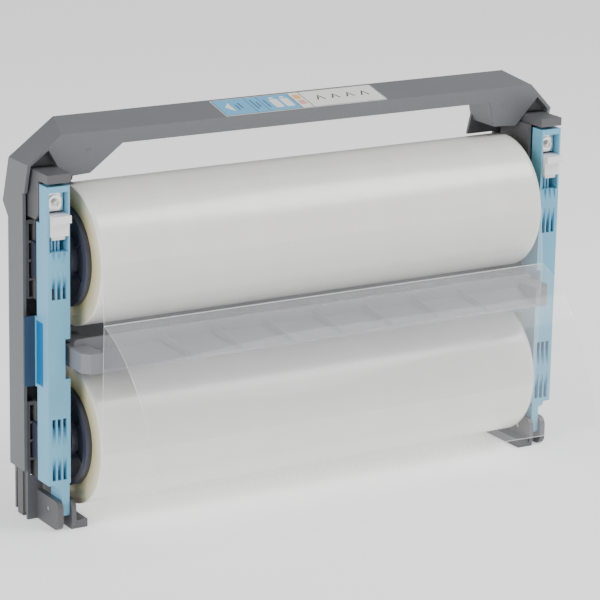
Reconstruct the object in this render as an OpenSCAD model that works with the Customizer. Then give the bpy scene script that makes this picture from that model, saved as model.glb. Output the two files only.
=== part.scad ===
// Two-roll laminating film cartridge: a carry frame with a chassis at each end, two film rolls
// in open saddles, hinged arms that shut over them, and a guide bar that the two webs meet at.
// Millimetres. X runs along the rolls, Y runs to the back, Z is up from the feet.

/* [Film rolls] */
// Width of the film
film_w = 306; // [250:1:370]
// Outer diameter of each wound roll
roll_d = 83.6; // [69.6:0.2:90]
// Outer diameter of the cardboard core
core_d = 38; // [34:1:46]
// Bore of the cardboard core
core_bore = 25.4; // [21:0.2:30]
// Height of the lower roll's axis
lower_z = 49.4; // [49:0.2:60]
// Distance between the two roll axes
roll_pitch = 109.1; // [105:0.1:132]

/* [Hubs] */
// Diameter of the hub's flange
hub_d = 60; // [50:1:66]
// Thickness of the hub's rim
hub_rim_t = 3.6; // [2.4:0.2:5]
// Width of the hub's raised rim
hub_rim_w = 4; // [3:0.5:7]
// Diameter of the hub's centre boss
hub_boss_d = 30; // [28:1:36]
// Diameter of the journal that turns in the saddle
journal_d = 22; // [18:0.2:26.4]
// Depth of the plug inside the core
plug_len = 24; // [12:1:40]

/* [Carry frame] */
// Room beside an arm, out to the frame's side
end_room = 3.9; // [3.9:0.1:10]
// Wall of the frame
frame_wall = 2; // [1.6:0.1:2.4]
// Gap between the frame's walls and the chassis
seat_gap = 0.2; // [0.1:0.05:0.3]
// Depth of a column from front to back
column_d = 19.5; // [19:0.5:24]
// Distance from the lower roll's axis down to the column's end
column_drop = 19; // [10:1:24]
// Height of the frame's shoulder above the upper roll's axis
shoulder_rise = 39.9; // [36:0.1:44]
// Height of the outer chamfer's start above the shoulder
chamfer_rise = 17.5; // [15:0.5:21]
// Height of the handle's front edge above the shoulder
handle_h = 34.6; // [32:0.2:42]
// Height that the handle's top gains to its back edge
handle_rise = 5.6; // [3:0.2:7]
// Height of the handle's front face
handle_face = 9.2; // [8:0.2:10]
// Distance that the handle's front edge leans forward
handle_lean = 12.35; // [10:0.05:15]
// Depth of the handle's top face
handle_d = 24; // [22:0.5:28]
// Distance from the frame's left side to the hand gap
gap_left = 59.5; // [52:0.5:70]
// Distance from the frame's right side to the hand gap
gap_right = 48; // [46:0.5:70]
// Distance of the back bulge behind the column
bulge_d = 7; // [5:0.5:8]
// Distance from the frame's side to a rear flange's inner end
flange_side = 42.7; // [42:0.1:52]
// Corner radius of the rear flanges
flange_r = 4; // [2:0.5:6]
// Gap between the cross beam and the rolls
beam_gap = 2.6; // [1:0.1:6]
// Depth of the cross beam
beam_d = 11.5; // [8:0.5:12]

/* [Chassis] */
// Wall of the chassis plates
chassis_wall = 1.8; // [1.4:0.1:2.2]
// Distance from a roll's axis to the end of its saddle plate
saddle_h = 23.5; // [20:0.5:25]
// Thickness of the cap over the arm
cap_t = 5.1; // [4:0.1:7]
// Height of the foot block
foot_h = 5; // [4:0.5:8]
// Width of the foot block
foot_w = 10.5; // [9:0.1:12]
// Height of the hinge ears
ear_h = 18; // [16:0.5:20]
// Thickness of the outer hinge ear
outer_ear_t = 3.5; // [3:0.1:4]
// Number of windows beside each saddle
windows = 4; // [2:1:5]
// Height of one rung between the windows
rung_t = 1.4; // [1:0.1:2]

/* [Arms] */
// Gap from the film's end to the arm
arm_gap = 11; // [10.6:0.1:11.6]
// Width of the arm
arm_w = 14.1; // [13.5:0.1:17]
// Front face of the arm, forward of the roll axes
arm_front = 24.4; // [23.4:0.2:25.4]
// Back face of the arm, forward of the roll axes
arm_back = 9.9; // [8:0.1:10.5]
// Back face of the arm's head, forward of the roll axes
head_back = 13.9; // [13:0.1:14.4]
// Distance from the lower roll's axis down to the arm's lower shoulder
arm_drop = 21.3; // [20:0.1:24]
// Height of the arm's head above the upper roll's axis
head_rise = 24.9; // [24:0.1:28]
// Height of the arm's head
head_h = 22.8; // [22:0.1:26]
// Wall beside the latch window
window_rim = 1.1; // [0.9:0.1:1.3]
// Width of one grip groove
groove_w = 2.4; // [1.6:0.1:2.6]
// Distance from one groove to the next
groove_pitch = 3.45; // [3.2:0.05:3.6]
// Half length of a groove
groove_h = 18.7; // [14:0.1:20]
// Height of the pull tab
tab_h = 42.2; // [36:0.2:46]
// Reach of the pull tab beyond the arm
tab_reach = 6.8; // [5.6:0.2:8]

/* [Hinge] */
// Height of the hinge pin
pin_z = 10.3; // [10.2:0.1:11]
// Hinge pin, forward of the roll axes
pin_y = 13.1; // [12.8:0.1:13.4]
// Diameter of the hinge pin
pin_d = 3.2; // [2.4:0.1:3.8]

/* [Latch] */
// Width of the latch shelf
shelf_w = 11.6; // [10:0.2:13]
// Thickness of the latch shelf
shelf_t = 4.4; // [3:0.2:4.8]
// Height of the latch shelf above the head's lower end
shelf_rise = 6.4; // [6:0.1:6.6]
// Length of the tongue below the head
tongue_drop = 8.2; // [7.8:0.1:9]
// Diameter of the strike washer
washer_d = 9.2; // [7.6:0.1:9.4]
// Diameter of the strike screw's head
strike_head_d = 4.8; // [4:0.1:5.8]

/* [Guide bar] */
// Gap between the bar's front face and the line of the rolls' fronts
bar_setback = -0.2; // [-0.6:0.1:1]
// Distance from the bar's lower face up to the middle of the rolls
bar_drop = 5.75; // [5:0.05:6.5]
// Depth of the bar from front to back
bar_d = 20.4; // [18:0.2:21]
// Height of the bar's front face
bar_h = 11.9; // [9:0.1:12]
// Length of each solid end block
end_block = 12; // [10:0.5:14]
// Distance from one fin to the next
fin_pitch = 35; // [20:1:41]
// Thickness of a fin
fin_t = 1.8; // [1.2:0.1:2.4]
// Height of the bar's upstand above its floor
upstand_h = 15.8; // [14:0.2:17]

/* [Film path] */
// Thickness of the threaded film
web_t = 0.4; // [0.2:0.1:0.6]
// Distance of the nip forward of the rolls' fronts
nip_out = 3.2; // [3:0.1:5]
// Height of the nip above the middle of the rolls
nip_rise = 23.05; // [20:0.05:26]
// Forward reach of the leader's hem beyond the nip
hem_out = 68.6; // [50:0.2:76]
// Height of the leader's hem
hem_z = 43; // [30:1:60]

/* [Fits] */
// Gap between parts that move past each other
run_gap = 0.3; // [0.3:0.05:0.4]
// Radial clearance of the hinge pin in the arm
pin_gap = 0.05; // [0.03:0.01:0.08]

/* [Hidden] */

$fn = 48;
eps = 0.01;
// Reach of a cutting shape well past what it cuts
past = 60;
screw_r = 1.5;

roll_r = roll_d / 2;
film_x = film_w / 2;
upper_z = lower_z + roll_pitch;
middle_z = lower_z + roll_pitch / 2;
journal_r = journal_d / 2;
roll_axes = [lower_z, upper_z];
nip_y = roll_r + nip_out;
nip_z = middle_z + nip_rise;
hem_y = nip_y + hem_out;
// The origin is under the middle of the whole cartridge, so the roll axes stand behind it.
axis_y = (hem_y - roll_r) / 2;

arm_x = film_x + arm_gap;
arm_out_x = arm_x + arm_w;
arm_mid_x = arm_x + arm_w / 2;
frame_x = arm_out_x + end_room;
column_foot_z = lower_z - column_drop;
shoulder_z = upper_z + shoulder_rise;
chamfer_z = shoulder_z + chamfer_rise;
handle_z = shoulder_z + handle_h;
top_back = [handle_d - handle_lean, handle_z + handle_rise];
frame_top = top_back[1] + 20;
// Height that the chamfer gains for each millimetre across
chamfer_slope = 0.9;
chamfer_stretch = sqrt(1 + pow(chamfer_slope, 2));
chamfer_back_x = frame_x - (top_back[1] - chamfer_z) / chamfer_slope;
shoulder_step = 2;
lean_edge = [[-shoulder_step, shoulder_z], [-handle_lean, handle_z]];
front_edge = concat([[0, column_foot_z], [0, shoulder_z]], lean_edge);
back_edge = [[column_d, column_foot_z], [column_d, shoulder_z - 18],
    [column_d + bulge_d, shoulder_z - 10], [column_d - 1.5, chamfer_z + 0.5], top_back];
flange_x = frame_x - flange_side;
bracket_x = frame_x - 41;
bracket_z = shoulder_z + 8.5;
bracket_low = [frame_x - 24.4, bracket_z - 1];
bracket_high = [frame_x - 12.4, handle_z - 9.2];
// The cross beam's two ledges stay clear of the rolls, which curve away above and below it.
beam_rise = 0.5;
beam_z = middle_z + beam_rise;
beam_h = roll_pitch - 2 * beam_rise - 2 * sqrt(pow(roll_r + beam_gap, 2) - pow(column_d - beam_d, 2));

arm_foot_z = lower_z - arm_drop;
head_z = upper_z + head_rise;
arm_top_z = head_z + head_h;
window_top = arm_top_z - 3.5;
window_bottom = head_z - 15.8;
window_in = arm_x + window_rim;
window_out = arm_out_x - window_rim;
shelf_top = head_z + shelf_rise;
tongue_z = head_z - tongue_drop;
strike_z = head_z + 12.5;
// Curve of a groove's floor about the roll's axis
groove_floor_r = arm_front + 0.1;
tab_z = middle_z - 19.3;
tab_back = arm_back - 2.7;
tab_t = 1.6;
pad_x = arm_out_x - 1.4;
pad_t = 1;
pad_back = arm_back - 1.6;
pad_front = pad_back + 9.4;
latch_floor = arm_front - 9.7;
comb_front = arm_front - 4.2;
shelf_front = arm_front + 4.8;

spine_back = column_d - frame_wall;
spine_t = 2.4;
spine_top = shoulder_z + 7;
chassis_x = frame_x - frame_wall - seat_gap;
inner_wall_x = arm_x - chassis_wall - 0.5;
inner_ear_x = arm_x + 0.5;
outer_ear_x = inner_ear_x + 5.5;
toe_in = inner_ear_x + run_gap;
toe_out = outer_ear_x - run_gap;
toe_z = pin_z - 2.8;
// The journal ends inside the arm's outer wall, and its saddle ends with the outer saddle plate.
journal_end = arm_out_x - 2;
saddle_x = journal_end - chassis_wall - 1.2;
head_wall_x = arm_out_x - 1.4;
rail_x = chassis_x - 2.2;
rail_wall = 1.2;
cap_x = arm_x - 1;
cap_z = arm_top_z + 1.8;
post_front = arm_front - 6.6;
head_wall_front = head_back - 0.7;
panel_y = 0.5;
foot_front = arm_front + 1.8;
ear_front = arm_front + 2.7;
frame_screw_x = inner_wall_x + 6.8;
frame_screw_z = [lower_z - 12, middle_z - 18.55, middle_z + 15.45];

bar_x = arm_x - run_gap;
bar_front = roll_r - bar_setback;
bar_back = bar_front - bar_d;
bar_z = middle_z - bar_drop;
bar_tab_y = 5;
bar_screw_x = inner_wall_x - 8.2;
bar_screw_z = bar_z + 6.2;
boss_end = film_x + hub_rim_t + 2;
// Wound radius plus the gap under the moving web and half of the web itself
web_r = roll_r + run_gap + web_t / 2;
// Bezier points of the leader's fall, from the nip to the hem
leader = [[-nip_y - web_t / 2, nip_z], [-nip_y - 0.41 * hem_out, nip_z - 9],
    [-nip_y - 0.7 * hem_out, nip_z - 36], [-hem_y, hem_z]];
strike_plate_t = 1.2;
strike_washer_t = 1;

// Draws its children in the cartridge's own place, with the roll axes behind the origin.
module seated() {
    translate([0, axis_y, 0]) children();
}

// Places a part that is drawn for the right end at either end.
module at_end(side) {
    mirror([side < 0 ? 1 : 0, 0, 0]) children();
}

// A box between two opposite corners.
module block(low, high) {
    translate(low) cube(high - low);
}

// Extrudes an outline of [y, z] points from x0 to x1.
module across(x0, x1) {
    translate([x0, 0, 0]) rotate([90, 0, 90]) linear_extrude(x1 - x0) children();
}

// Extrudes an outline of [x, z] points from y0 to y1.
module through(y0, y1) {
    translate([0, y1, 0]) rotate([90, 0, 0]) linear_extrude(y1 - y0) children();
}

// A cylinder along X between two places.
module rod(x0, x1, r, y, z) {
    translate([x0, y, z]) rotate([0, 90, 0]) cylinder(r = r, h = x1 - x0);
}

// A cylinder along Y between two places.
module peg(y0, y1, r, x, z) {
    translate([x, y1, z]) rotate([90, 0, 0]) cylinder(r = r, h = y1 - y0);
}

// A pan-head screw that points to the front, with its head's seat at y.
module rear_screw(x, y, z, length, head_r) {
    head_t = 2;
    peg(y - length, y + eps, screw_r, x, z);
    difference() {
        peg(y, y + head_t, head_r, x, z);
        for (turn = [0, 90]) {
            translate([x, y + head_t, z]) rotate([0, turn, 0])
                cube([head_r * 1.3, 1.6, 0.7], center = true);
        }
    }
}

// A rectangle of [x, z] between two corners.
module face(low, high) {
    translate(low) square(high - low);
}

function shifted(points, dy) = [for (p = points) [p[0] + dy, p[1]]];
function reversed(points) = [for (i = [len(points) - 1:-1:0]) points[i]];

// Inner end of the handle's brackets: the hand gap reaches further to the right.
function gap_x(side) = frame_x - (side < 0 ? gap_left : gap_right);

// Outer outline of the frame from the front, as far as the middle of the top.
module frame_outline(inset) {
    x = frame_x - inset;
    side_z = chamfer_z - inset * (chamfer_stretch - chamfer_slope);
    high_z = top_back[1] - inset * chamfer_stretch;
    polygon([[-x, column_foot_z - 1], [-x, side_z], [-chamfer_back_x, high_z],
        [chamfer_back_x, high_z], [x, side_z], [x, column_foot_z - 1]]);
}

// Front plate of the handle with its two brackets.
module handle_front() {
    for (side = [-1, 1]) {
        polygon([[0, handle_z - handle_face], [side * gap_x(side), handle_z - handle_face],
            [side * bracket_x, bracket_z], [side * bracket_low[0], bracket_low[1]],
            [side * bracket_high[0], bracket_high[1]],
            [side * bracket_high[0], frame_top], [0, frame_top]]);
    }
}

// Rear plates: both columns with their inward flanges, and the handle's back.
module rear_plates() {
    column_in = inner_wall_x - 2.2;
    flange_top = chamfer_z - 1;
    flange_low = upper_z + sqrt(pow(roll_r + run_gap * 2, 2) - pow(spine_back, 2));
    blend_x = frame_x - 32;
    for (side = [-1, 1]) {
        mirror([side < 0 ? 1 : 0, 0]) {
            face([column_in, column_foot_z], [frame_x, frame_top]);
            hull() {
                face([blend_x, flange_low], [column_in + 5, flange_top]);
                translate([flange_x + flange_r, flange_top - flange_r]) circle(r = flange_r, $fn = 32);
                face([flange_x, flange_low], [blend_x, flange_low + 3]);
            }
            polygon([[0, handle_z - handle_face], [gap_x(side), handle_z - handle_face],
                [bracket_x, bracket_z], [column_in + 5, bracket_z],
                [column_in + 5, frame_top], [0, frame_top]]);
        }
    }
}

// Plates that close the corners of the frame over the caps, set back from its front.
module corner_plates() {
    for (side = [-1, 1]) {
        mirror([side < 0 ? 1 : 0, 0])
            face([bracket_low[0] - 2, cap_z + cap_t + run_gap], [frame_x, frame_top]);
    }
}

module carry_frame() {
    beam_low = beam_z - beam_h / 2;
    beam_high = beam_z + beam_h / 2;
    seated() color([0.45, 0.46, 0.48]) difference() {
        union() {
            intersection() {
                across(-frame_x, frame_x) polygon(concat(front_edge, reversed(back_edge)));
                union() {
                    through(-past, past) difference() {
                        frame_outline(0);
                        frame_outline(frame_wall);
                    }
                    intersection() {
                        across(-frame_x, frame_x) polygon([[-handle_lean, handle_z], top_back,
                            top_back - [0, frame_wall], [-handle_lean, handle_z - frame_wall]]);
                        through(-past, past) frame_outline(0);
                    }
                    intersection() {
                        through(-1, 1) corner_plates();
                        through(-past, past) frame_outline(0);
                    }
                    intersection() {
                        across(-frame_x, frame_x)
                            polygon(concat(lean_edge, shifted(reversed(lean_edge), frame_wall)));
                        through(-past, past) intersection() {
                            frame_outline(0);
                            handle_front();
                        }
                    }
                    intersection() {
                        across(-frame_x, frame_x)
                            polygon(concat(back_edge, shifted(reversed(back_edge), -frame_wall)));
                        through(-past, past) intersection() {
                            frame_outline(0);
                            rear_plates();
                        }
                    }
                    for (side = [-1, 1]) {
                        through(-past, past) polygon([[side * gap_x(side), handle_z - handle_face],
                            [side * bracket_x, bracket_z], [side * (bracket_x + 3), bracket_z],
                            [side * (gap_x(side) + 2), handle_z - handle_face + 1.6]]);
                    }
                }
            }
            block([-frame_x + eps, column_d - frame_wall, beam_low], [frame_x - eps, column_d, beam_high]);
            for (z = [beam_low, beam_high - frame_wall]) {
                block([-inner_wall_x + run_gap, column_d - beam_d, z],
                    [inner_wall_x - run_gap, column_d - frame_wall + eps, z + frame_wall]);
            }
        }
        for (side = [-1, 1], z = frame_screw_z) {
            peg(-1, past, screw_r + 0.2, side * frame_screw_x, z);
        }
    }
}

module handle_label() {
    label_w = 112;
    label_d = 22;
    label_t = 0.3;
    slope = atan2(handle_rise, handle_d);
    seated() color([0.93, 0.93, 0.91]) translate([0, -handle_lean, handle_z]) rotate([slope, 0, 0])
        translate([-label_w / 2 + 1, 0.8, 0]) cube([label_w, label_d, label_t]);
}

// One end chassis, drawn for the right end.
module chassis(side) {
    seated() color([0.42, 0.43, 0.45]) at_end(side) difference() {
        union() {
            block([inner_wall_x, spine_back - spine_t, lower_z - saddle_h],
                [chassis_x, spine_back, spine_top]);
            block([inner_wall_x, -2, 0], [inner_wall_x + chassis_wall, spine_back, head_z + 1]);
            for (z = roll_axes) {
                block([saddle_x, -2, z - saddle_h], [saddle_x + chassis_wall, spine_back, z + saddle_h]);
                block([saddle_x, panel_y, z - saddle_h], [chassis_x, panel_y + 1.6, z + saddle_h]);
            }
            block([outer_ear_x, panel_y, 0], [chassis_x, panel_y + 2, lower_z - saddle_h + eps]);
            block([inner_wall_x - 14, bar_tab_y, bar_z + 1],
                [inner_wall_x + eps, bar_tab_y + 2, bar_z + bar_h - 1]);
            side_rails();
            chassis_head();
            hinge_ears();
        }
        for (z = roll_axes) {
            saddle_notch(z);
            saddle_windows(z - saddle_h + 1);
        }
        rod(inner_wall_x - 1, chassis_x + 1, pin_d / 2, -pin_y, pin_z);
        peg(-post_front - 1, 4, screw_r, arm_mid_x, strike_z);
        peg(0, 10, screw_r, bar_screw_x, bar_screw_z);
        for (z = frame_screw_z) {
            peg(10, spine_back + 1, screw_r, frame_screw_x, z);
        }
    }
}

// Two outer rails under the frame's column, with a thin wall behind them.
module side_rails() {
    top = column_foot_z + 4;
    block([rail_x, 7, 0.6], [chassis_x, 14, top]);
    block([rail_x, spine_back - 2, 3], [chassis_x, spine_back, top]);
    block([rail_x, panel_y, 3], [rail_x + rail_wall, spine_back, top]);
}

// Head over the arm: two side walls, the cap and the post that carries the strike.
module chassis_head() {
    back = spine_back - 2;
    notch = 4;
    block([inner_wall_x, -head_wall_front, head_z + 1], [inner_wall_x + chassis_wall, back, cap_z + eps]);
    across(head_wall_x, head_wall_x + 1.6) polygon([[-head_wall_front + notch, head_z + 1],
        [-head_wall_front, head_z + 1 + notch], [-head_wall_front, cap_z + eps],
        [back, cap_z + eps], [back, head_z + 1]]);
    block([cap_x, -arm_front, cap_z], [head_wall_x + 1.6, back, cap_z + cap_t]);
    block([window_in + 0.8, -post_front, strike_z - 5], [window_out - 1.2, spine_back - 1, strike_z + 6]);
}

// Row of windows beside a saddle, from the height z upwards.
module saddle_windows(z) {
    pitch = (2 * saddle_h - 2) / windows;
    for (i = [0:windows - 1]) {
        block([saddle_x + chassis_wall + 0.1, panel_y - 1, z + i * pitch],
            [chassis_x - 1.9, panel_y + 3, z + (i + 1) * pitch - rung_t]);
    }
}

// Open notch that a journal drops into from the front.
module saddle_notch(z) {
    r = journal_r + run_gap;
    end = journal_end + run_gap;
    rod(film_x, end, r, 0, z);
    block([film_x, -past, z - r], [end, 0, z + r]);
}

// Two ears around the arm's toe, with the foot block beside the inner one.
module hinge_ears() {
    corner = 5;
    for (ear = [[outer_ear_x, outer_ear_t], [inner_wall_x, inner_ear_x - inner_wall_x]]) {
        across(ear[0], ear[0] + ear[1]) hull() {
            face([panel_y, 0], [panel_y + 2, ear_h]);
            translate([-ear_front + corner, corner]) circle(r = corner, $fn = 32);
            translate([-ear_front + corner, ear_h - corner]) circle(r = corner, $fn = 32);
        }
    }
    block([inner_ear_x - foot_w, -foot_front, 0], [inner_ear_x, spine_back - 1, foot_h]);
    block([inner_ear_x - eps, -2, 0], [outer_ear_x + eps, panel_y + 2, 2]);
}

module left_chassis() {
    chassis(-1);
}

module right_chassis() {
    chassis(1);
}

module frame_screws() {
    seated() color([0.72, 0.72, 0.73]) for (side = [-1, 1], z = frame_screw_z) {
        rear_screw(side * frame_screw_x, column_d, z, 6, 3.2);
    }
}

// Guide bar between the rolls: end blocks, an upstand, a sloped deck and fins.
module guide_bar() {
    top = bar_z + bar_h;
    wall = 1.6;
    deck_x = bar_x - end_block;
    seated() color([0.55, 0.56, 0.58]) difference() {
        guide_bar_body(top, wall, bar_back, deck_x);
        for (side = [-1, 1]) {
            peg(-10, 6, screw_r, side * bar_screw_x, bar_screw_z);
        }
    }
}

module guide_bar_body(top, wall, back, deck_x) {
    fin_turn = 28;
    fin_length = (bar_d - 1) / cos(fin_turn);
    fin_top = bar_z + upstand_h - 3;
    fin_pairs = floor((deck_x - 12) / fin_pitch);
    union() {
        for (side = [-1, 1]) {
            at_end(side) {
                through_plan(bar_z, top) polygon([[deck_x, -bar_front], [bar_x - 4, -bar_front],
                    [bar_x, -bar_front + 5], [bar_x, -back + 5], [inner_wall_x - 2.5, -back + 7],
                    [inner_wall_x - 2.5, bar_tab_y], [deck_x - 6, bar_tab_y],
                    [deck_x - 6, -back], [deck_x, -back]]);
            }
        }
        block([-deck_x - 3, -back - wall, bar_z], [deck_x + 3, -back, bar_z + upstand_h - 3]);
        across(-deck_x - 3, deck_x + 3) polygon([[-back, bar_z + 7], [-back, bar_z + 9],
            [-bar_front + 1, bar_z + 1.8], [-bar_front, bar_z + 1.8], [-bar_front, bar_z]]);
        through(-back - wall, -back) hull() for (side = [-1, 1]) {
            translate([side * (bar_x - 5.5), bar_z + upstand_h - 2.5]) circle(r = 2.5, $fn = 32);
            translate([side * (bar_x - 3.5), bar_z + 0.5]) circle(r = 0.5, $fn = 32);
        }
        for (i = [-fin_pairs:fin_pairs]) {
            x = i * fin_pitch;
            translate([x, -back, 0]) rotate([0, 0, fin_turn]) across(-fin_t / 2, fin_t / 2)
                polygon([[1, fin_top], [-3, fin_top], [-fin_length, bar_z + 4],
                    [-fin_length, bar_z + 1], [1, bar_z + 7.5]]);
        }
    }
}

// Extrudes an outline of [x, y] points from z0 to z1.
module through_plan(z0, z1) {
    translate([0, 0, z0]) linear_extrude(z1 - z0) children();
}

module bar_screws() {
    seated() color([0.72, 0.72, 0.73]) for (side = [-1, 1]) {
        rear_screw(side * bar_screw_x, bar_tab_y + 2, bar_screw_z, 9, 3);
    }
}

// A pan-head screw whose head stands to the front of its seat at y.
module front_screw(x, y, z, length, head_r) {
    head_t = 2.2;
    peg(y - eps, y + length, screw_r, x, z);
    difference() {
        union() {
            peg(y - head_t * 0.6, y, head_r, x, z);
            peg(y - head_t, y - head_t * 0.6 + eps, head_r * 0.8, x, z);
        }
        for (turn = [20, 110]) {
            translate([x, y - head_t, z]) rotate([0, turn, 0])
                cube([head_r * 1.2, 1.6, 0.7], center = true);
        }
    }
}

module hinge_pin(side) {
    seated() color([0.78, 0.78, 0.8]) at_end(side)
        rod(inner_wall_x + 0.4, outer_ear_x + outer_ear_t - 0.4, pin_d / 2, -pin_y, pin_z);
}

module left_hinge_pin() {
    hinge_pin(-1);
}

module right_hinge_pin() {
    hinge_pin(1);
}

// Left edge of the arm at an end: the latch and its seat point the same way at both ends.
function arm_left(side) = side > 0 ? arm_x : -arm_out_x;

// One swinging arm, drawn for the right end, then its latch seat, which isn't mirrored.
module arm(side) {
    seated() color([0.56, 0.78, 0.89]) difference() {
        union() {
            difference() {
                at_end(side) arm_body();
                latch_seat(arm_left(side));
            }
            latch_comb(arm_left(side));
        }
        at_end(side) rod(toe_in - 1, toe_out + 1, pin_d / 2 + pin_gap, -pin_y, pin_z);
    }
}

module arm_body() {
    toe_corner = 2.5;
    difference() {
        union() {
            block([arm_x, -arm_front, arm_foot_z], [arm_out_x, -arm_back, head_z]);
            block([arm_x, -arm_front, head_z - eps], [arm_out_x, -head_back, arm_top_z]);
            block([arm_x, -arm_back - eps, tab_z], [arm_out_x, -tab_back, tab_z + tab_h]);
            block([toe_in, -arm_front, toe_z + toe_corner], [toe_out, -arm_back, arm_foot_z + eps]);
            block([toe_in, -arm_front + toe_corner, toe_z], [toe_out, -arm_back, arm_foot_z]);
            rod(toe_in, toe_out, toe_corner, -arm_front + toe_corner, toe_z + toe_corner);
            peg(-arm_front, -arm_back, 3.2, toe_out + 0.6, arm_foot_z);
        }
        for (z = roll_axes) {
            rod(film_x, journal_end + 0.5, journal_r + 0.4, 0, z);
            for (i = [-1:1]) {
                groove(arm_mid_x + i * groove_pitch, z);
            }
        }
        bar_clearance = 5.6;
        block([arm_x - 1, -past, bar_z - bar_clearance - 0.9],
            [arm_x + 3.2, 0, bar_z + bar_h + bar_clearance]);
        block([pad_x, -pad_front, tab_z + 2], [arm_out_x + 1, -pad_back, tab_z + tab_h - 2]);
        for (span = [[lower_z + 13, tab_z - 2], [tab_z + tab_h + 2, upper_z - 13]]) {
            block([arm_x + 1.6, -arm_front + 2, span[0]], [arm_out_x - 1.6, 0, span[1]]);
        }
    }
}

// One groove with a curved floor, so it fades out level with the roll's axis.
module groove(x, z) {
    difference() {
        block([x - groove_w / 2, -arm_front - 1, z - groove_h],
            [x + groove_w / 2, -groove_floor_r / 2, z + groove_h]);
        rod(x - groove_w, x + groove_w, groove_floor_r, 0, z);
    }
}

// The window for the strike, the recess for the latch and the slot beside the comb.
module latch_seat(x0) {
    low = x0 + window_rim;
    high = x0 + arm_w - window_rim;
    block([low, -past, window_bottom], [high, -latch_floor, window_top]);
    block([low, -past, head_z + 0.5], [high, 0, window_top]);
    block([high - 2.4, -past, window_bottom], [high, -latch_floor + 2.5, tongue_z]);
}

// Short fingers below the latch that guide its tongue.
module latch_comb(x0) {
    for (i = [0:3]) {
        x = x0 + window_rim + 0.6 + i * 2.2;
        block([x, -comb_front, window_bottom - eps], [x + 1.2, -comb_front + 1.4, tongue_z - 0.4]);
    }
}

module left_arm() {
    arm(-1);
}

module right_arm() {
    arm(1);
}

// Dark flange behind the arm that a finger pulls.
module pull_tab(side) {
    corner = 1.2;
    seated() color([0.14, 0.26, 0.38]) at_end(side) through(-tab_back, -tab_back + tab_t) hull() {
        face([arm_x + 5.5, tab_z], [arm_out_x, tab_z + tab_h]);
        for (z = [tab_z + corner, tab_z + tab_h - corner]) {
            translate([arm_out_x + tab_reach - corner, z]) circle(r = corner, $fn = 32);
        }
    }
}

module left_pull_tab() {
    pull_tab(-1);
}

module right_pull_tab() {
    pull_tab(1);
}

module grip_pad(side) {
    seated() color([0, 0.46, 0.7]) at_end(side)
        block([pad_x, -pad_front, tab_z + 2], [pad_x + pad_t, -pad_back, tab_z + tab_h - 2]);
}

module left_grip_pad() {
    grip_pad(-1);
}

module right_grip_pad() {
    grip_pad(1);
}

// The latch has a thumb shelf, a body in the arm's window and a tongue over the comb.
module latch(side) {
    x0 = arm_left(side);
    low = x0 + window_rim + run_gap;
    high = x0 + arm_w - window_rim - run_gap;
    body_front = arm_front + 2.2;
    body_back = comb_front + run_gap;
    shelf_low = shelf_top - shelf_t;
    seated() color([0.95, 0.95, 0.96]) {
        block([low, -body_front, tongue_z + 2.2], [high, -body_back, shelf_low + eps]);
        block([low + 1.6, -body_front + 1.6, tongue_z], [high - 1.8, -body_back, tongue_z + 2.2 + eps]);
        block([low, -shelf_front, shelf_low], [low + shelf_w, -arm_front - run_gap, shelf_top]);
        block([low, -arm_front - 1, head_z + 1], [high, -latch_floor - 0.4, shelf_top]);
    }
}

module left_latch() {
    latch(-1);
}

module right_latch() {
    latch(1);
}

// A helix of round wire between two heights, as rings of points joined by triangles.
module coil(x, y, z0, z1, r, wire, turns) {
    steps = turns * 14;
    ring = 6;
    points = [for (i = [0:steps], j = [0:ring - 1])
        let (a = 360 * turns * i / steps, b = 360 * j / ring, reach = r + wire / 2 * cos(b))
        [x + reach * cos(a), y + reach * sin(a), z0 + (z1 - z0) * i / steps + wire / 2 * sin(b)]];
    sides = [for (i = [0:steps - 1], j = [0:ring - 1])
        let (a = i * ring + j, b = i * ring + (j + 1) % ring)
        [a, b, b + ring, a + ring]];
    start = [for (j = [0:ring - 1]) ring - 1 - j];
    finish = [for (j = [0:ring - 1]) steps * ring + j];
    polyhedron(points, concat(sides, [start], [finish]));
}

module latch_spring(side) {
    wire = 0.5;
    seated() color([0.75, 0.75, 0.77])
        coil(arm_left(side) + arm_w / 2, -latch_floor - 2.2, window_bottom + wire / 2 + 0.05,
            head_z + 1 - wire / 2 - 0.05, 1.4, wire, 7);
}

module left_latch_spring() {
    latch_spring(-1);
}

module right_latch_spring() {
    latch_spring(1);
}

// Steel plate on the chassis post, with the washer and the screw that hold it.
module strike_plate(side) {
    seated() color([0.8, 0.8, 0.8]) at_end(side) difference() {
        block([window_in + 0.7, -post_front - strike_plate_t, strike_z - 5],
            [window_out - 0.7, -post_front, strike_z + 6]);
        peg(-past, 0, screw_r, arm_mid_x, strike_z);
    }
}

module left_strike_plate() {
    strike_plate(-1);
}

module right_strike_plate() {
    strike_plate(1);
}

module strike_washer(side) {
    seat = -post_front - strike_plate_t;
    seated() color([0.82, 0.8, 0.76]) at_end(side) difference() {
        peg(seat - strike_washer_t, seat, washer_d / 2, arm_mid_x, strike_z);
        peg(-past, 0, screw_r, arm_mid_x, strike_z);
    }
}

module left_strike_washer() {
    strike_washer(-1);
}

module right_strike_washer() {
    strike_washer(1);
}

module strike_screw(side) {
    seated() color([0.7, 0.69, 0.66]) at_end(side)
        front_screw(arm_mid_x, -post_front - strike_plate_t - strike_washer_t, strike_z, 14,
            strike_head_d / 2);
}

module left_strike_screw() {
    strike_screw(-1);
}

module right_strike_screw() {
    strike_screw(1);
}

module tube(r_out, r_in, half, z) {
    difference() {
        rod(-half, half, r_out, 0, z, $fn = 96);
        rod(-half - 1, half + 1, r_in, 0, z);
    }
}

module upper_film() {
    seated() color([0.93, 0.93, 0.9]) tube(roll_r, core_d / 2, film_x, upper_z);
}

module lower_film() {
    seated() color([0.93, 0.93, 0.9]) tube(roll_r, core_d / 2, film_x, lower_z);
}

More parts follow.
